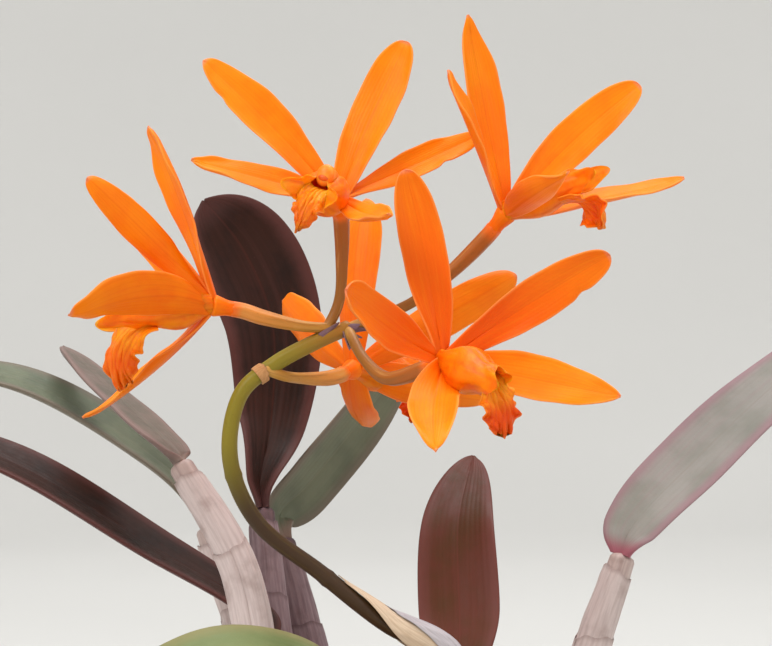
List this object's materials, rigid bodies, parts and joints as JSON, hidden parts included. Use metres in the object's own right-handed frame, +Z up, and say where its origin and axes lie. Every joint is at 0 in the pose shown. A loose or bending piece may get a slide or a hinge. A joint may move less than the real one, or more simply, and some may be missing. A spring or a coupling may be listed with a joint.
{
  "type": "potted cattleya angereri",
  "caption": "Potted orchid: slim cane-like pseudobulbs with leathery leaves and a bent stalk of star-shaped orange blooms with ruffled lips, in a plain round clay pot.",
  "frame": {"origin": "centre of the pot's flat base, which stands on z = 0", "axes": "+Z up along the pot's axis, +Y away from the picture's camera, +X to the picture's right"},
  "size_m": [0.1668, 0.1084, 0.2233],
  "materials": {
    "clay": "matte, unglazed",
    "bark": "rough",
    "cane": "matte, with dry papery sheaths",
    "dark_leaf": "satin, leathery",
    "grey_leaf": "satin, leathery",
    "green_leaf": "satin, leathery",
    "sheath": "matte, papery",
    "stalk": "satin",
    "flower": "soft satin petals"
  },
  "bodies": {
    "root": {"pot": "clay", "potting_mix": "bark", "pseudobulb_1": "cane", "leaf_1": "dark_leaf", "pseudobulb_2": "cane", "leaf_2": "grey_leaf", "pseudobulb_3": "cane", "leaf_3": "grey_leaf", "pseudobulb_4": "cane", "leaf_4": "grey_leaf", "pseudobulb_5": "cane", "leaf_5": "dark_leaf", "pseudobulb_6": "cane", "leaf_6": "dark_leaf", "pseudobulb_7": "cane", "leaf_7": "grey_leaf", "pseudobulb_8": "cane", "leaf_8": "green_leaf", "pseudobulb_9": "cane", "leaf_9": "green_leaf", "floral_sheath": "sheath", "flower_stalk": "stalk", "bloom_left": "flower", "bloom_top": "flower", "bloom_right": "flower", "bloom_front": "flower", "bloom_back": "flower"}
  },
  "joints": []
}
